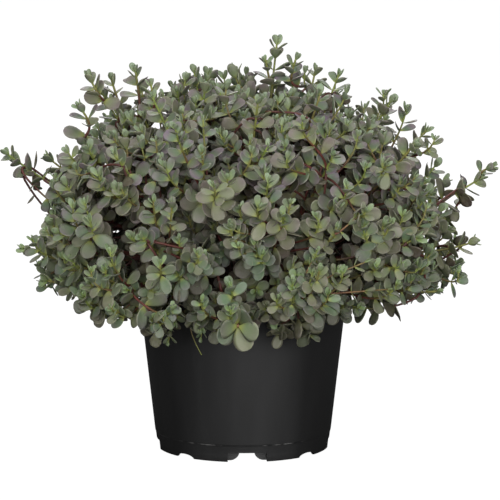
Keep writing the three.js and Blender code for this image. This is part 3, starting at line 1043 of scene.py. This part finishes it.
def combine(piece, tool, operation):
    """Joins the tool to the piece or cuts it out of it, and removes the tool."""
    modifier = piece.modifiers.new("cut", "BOOLEAN")
    modifier.operation = operation
    modifier.object = tool
    modifier.solver = "MANIFOLD"
    depsgraph = bpy.context.evaluated_depsgraph_get()
    mesh = bpy.data.meshes.new_from_object(piece.evaluated_get(depsgraph))
    piece.modifiers.clear()
    old = piece.data
    piece.data = mesh
    bpy.data.meshes.remove(old)
    bpy.data.objects.remove(tool)


def build_pot(material):
    foot_top = wall_radius(FOOT_HEIGHT + SHOULDER_HEIGHT) - SHOULDER_INSET
    foot_bottom = foot_top - FOOT_DRAFT
    foot_inside = foot_bottom - FOOT_WIDTH
    band_bottom = POT_HEIGHT - RIM_BAND_HEIGHT
    base_top = BASE_RAISE + POT_WALL
    shoulder = FOOT_HEIGHT + SHOULDER_HEIGHT
    corners = [  # radius, height, rounding
        (0, BASE_RAISE, 0),
        (foot_inside, BASE_RAISE, 0.8),
        (foot_inside, 0, 0.8),
        (foot_bottom, 0, 0.8),
        (foot_top, FOOT_HEIGHT, 1.2),
        (wall_radius(shoulder) - 0.5, shoulder - 0.8, 0.6),
        (wall_radius(shoulder), shoulder + 0.4, 0.8),
        (wall_radius(band_bottom), band_bottom, 0.6),
        (wall_radius(band_bottom) + RIM_BAND_PROUD, band_bottom + RIM_BAND_PROUD, 1.0),
        (RIM_RADIUS, POT_HEIGHT, 1.4),
        (wall_radius(POT_HEIGHT) - POT_WALL, POT_HEIGHT, 0.8),
        (wall_radius(base_top) - POT_WALL, base_top, 1.2),
        (0, base_top, 0),
    ]
    pot = turned("container", rounded(corners), POT_SEGMENTS)
    back = foot_bottom - DRAIN_DEPTH
    recess = back + POT_WALL
    half_housing = DRAIN_WIDTH / 2 + POT_WALL
    # where the housing's corners are still inside the foot ring
    joined = math.sqrt((foot_bottom - FOOT_WIDTH / 2) ** 2 - half_housing ** 2)
    outside = foot_top + CUT_OVERRUN
    housing = box_outline(2 * half_housing, 0.02, BASE_RAISE + POT_WALL / 2)
    hollow = box_outline(DRAIN_WIDTH, -CUT_OVERRUN, BASE_RAISE)
    opening = flared_outline(OPENING_WIDTH, OPENING_FLARE, BASE_RAISE)
    hole = box_outline(DRAIN_HOLE_LENGTH, BASE_RAISE - CUT_OVERRUN, base_top + CUT_OVERRUN)
    scallop = arch_outline(SCALLOP_WIDTH, SCALLOP_HEIGHT)
    for i in range(DRAIN_COUNT):
        azimuth = DRAIN_AZIMUTH + 2 * math.pi * i / DRAIN_COUNT
        between = azimuth + math.pi / DRAIN_COUNT
        combine(pot, radial_prism(housing, back, joined, azimuth), "UNION")
        for outline, near, far, turn in (
            (hollow, recess, outside, azimuth),
            (opening, back - CUT_OVERRUN, outside, azimuth),
            (hole, recess, recess + DRAIN_HOLE_WIDTH, azimuth),
            (scallop, foot_inside - CUT_OVERRUN, outside, between),
        ):
            combine(pot, radial_prism(outline, near, far, turn), "DIFFERENCE")
    pot.data.materials.clear()
    pot.data.materials.append(material)
    smooth_by_angle(pot.data)
    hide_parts("pot")
    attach(pot, "root")


def smooth_by_angle(mesh):
    """Smooth shading, with every edge sharper than CREASE kept crisp."""
    body = bmesh.new()
    body.from_mesh(mesh)
    for edge in body.edges:
        edge.smooth = len(edge.link_faces) == 2 and edge.calc_face_angle(0) < CREASE
    for face in body.faces:
        face.smooth = True
    body.to_mesh(mesh)
    body.free()


def build_potting_mix(material):
    """The root ball: a smooth taper in the container, with a crumbly top."""
    noise = np.random.RandomState(SHOOT_SEED + 2)
    bottom_radius = wall_radius(MIX_BOTTOM) - POT_WALL - FIT_GAP
    top = CROWN_HEIGHT - BALL_DROP
    profile = [(0, MIX_BOTTOM), (bottom_radius, MIX_BOTTOM)]
    for s in np.linspace(0.1, 1, 8):
        radius = bottom_radius + (MIX_TOP_RADIUS - bottom_radius) * s
        profile.append((radius, MIX_BOTTOM + (CROWN_HEIGHT - 1.5 - MIX_BOTTOM) * s))
    profile += [(MIX_TOP_RADIUS * s, top) for s in np.linspace(0.985, 0.03, BALL_RINGS)]
    profile.append((0, top))
    ball = turned("root_ball", profile, BALL_SEGMENTS)
    for vertex in ball.data.vertices:
        x, y, z = vertex.co / MM
        if z > top - 0.2 and math.hypot(x, y) < MIX_TOP_RADIUS - 1:
            swell = math.sin(0.21 * x + 1.1) * math.cos(0.17 * y) + math.sin(0.47 * y + 0.33 * x)
            crumb = noise.uniform(-CRUMB_HEIGHT, CRUMB_HEIGHT)
            vertex.co.z += (CLOD_HEIGHT * swell + crumb) * MM
    ball.data.materials.append(material)
    for polygon in ball.data.polygons:
        polygon.use_smooth = True
    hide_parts("potting_mix")
    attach(ball, "root")


# ---- stage, camera and light
VIEW_SPAN = 440.5  # width of the view at the container's axis
VIEW_ELEVATION = math.radians(8.5)
VIEW_DISTANCE = 3000
VIEW_TARGET = (6.2, 0, 174.8)
SENSOR = 36
AMBIENT = (0.15, 1.0, 0.0, 0.58)  # direction's height from, to; strength from, to
LIGHTS = (  # name, place, size in metres, power
    ("front", (0.25, -2.6, 0.65), (6.0, 1.4), 108),
    ("top", (-0.2, -0.9, 2.2), (1.4, 1.4), 20),
    ("back", (0.0, 2.3, 1.5), (2.2, 1.4), 34),
)
LIGHT_TARGET = Vector((0, 0, 0.2))


def aim(thing, target):
    thing.rotation_euler = (target - thing.location).to_track_quat("-Z", "Y").to_euler()


def add_camera():
    data = bpy.data.cameras.new("camera")
    data.sensor_width = SENSOR
    data.lens = SENSOR * VIEW_DISTANCE / VIEW_SPAN
    data.clip_end = 50
    camera = linked("camera", data)
    target = Vector(VIEW_TARGET) * MM
    back = Vector((0, -math.cos(VIEW_ELEVATION), math.sin(VIEW_ELEVATION)))
    camera.location = target + back * VIEW_DISTANCE * MM
    aim(camera, target)
    bpy.context.scene.camera = camera


def add_area(name, place, size, power):
    data = bpy.data.lights.new(name, "AREA")
    data.shape = "RECTANGLE"
    data.size, data.size_y = size
    data.energy = power
    light = linked(name, data)
    light.location = place
    aim(light, LIGHT_TARGET)


def add_floor():
    """A floor that the camera sees as white, and that throws little light on the object."""
    bpy.ops.mesh.primitive_plane_add(size=12, location=(0, 0, 0))
    floor = bpy.context.object
    floor.name = "floor"
    n = Nodes(bpy.data.materials.new("floor"))
    n.shader.inputs["Base Color"].default_value = (0.05, 0.05, 0.05, 1)
    n.shader.inputs["Roughness"].default_value = 0.9
    n.shader.inputs["Specular IOR Level"].default_value = 0.05
    glow = n.add("ShaderNodeEmission")
    glow.inputs["Strength"].default_value = 1.0
    lit = n.add("ShaderNodeAddShader")
    n.link(n.shader.outputs[0], lit.inputs[0])
    n.link(glow.outputs[0], lit.inputs[1])
    n.seen_apart(n.shader.outputs[0], lit.outputs[0], "Material Output")
    floor.data.materials.append(n.owner)


def add_world():
    """White behind the object, with a dim light on it that grows towards straight up."""
    n = Nodes(bpy.data.worlds.new("studio"))
    white = n.tree.nodes["Background"]
    white.inputs["Color"].default_value = (1, 1, 1, 1)
    split = n.add("ShaderNodeSeparateXYZ")
    n.link(n.add("ShaderNodeTexCoord").outputs["Generated"], split.inputs[0])
    rise = n.add("ShaderNodeMapRange")
    n.link(split.outputs["Z"], rise.inputs["Value"])
    for key, number in zip(("From Min", "From Max", "To Min", "To Max"), AMBIENT):
        rise.inputs[key].default_value = number
    dim = n.add("ShaderNodeBackground")
    n.link(rise.outputs["Result"], dim.inputs["Strength"])
    n.seen_apart(dim.outputs[0], white.outputs[0], "World Output")
    bpy.context.scene.world = n.owner


# ---- the object
add_camera()
add_floor()
add_world()
for light in LIGHTS:
    add_area(*light)
bpy.context.scene.view_settings.view_transform = "Standard"
build_pot(plastic_material())
build_potting_mix(mix_material())
build_stems(grow(), (leaf_material(), stem_material()))
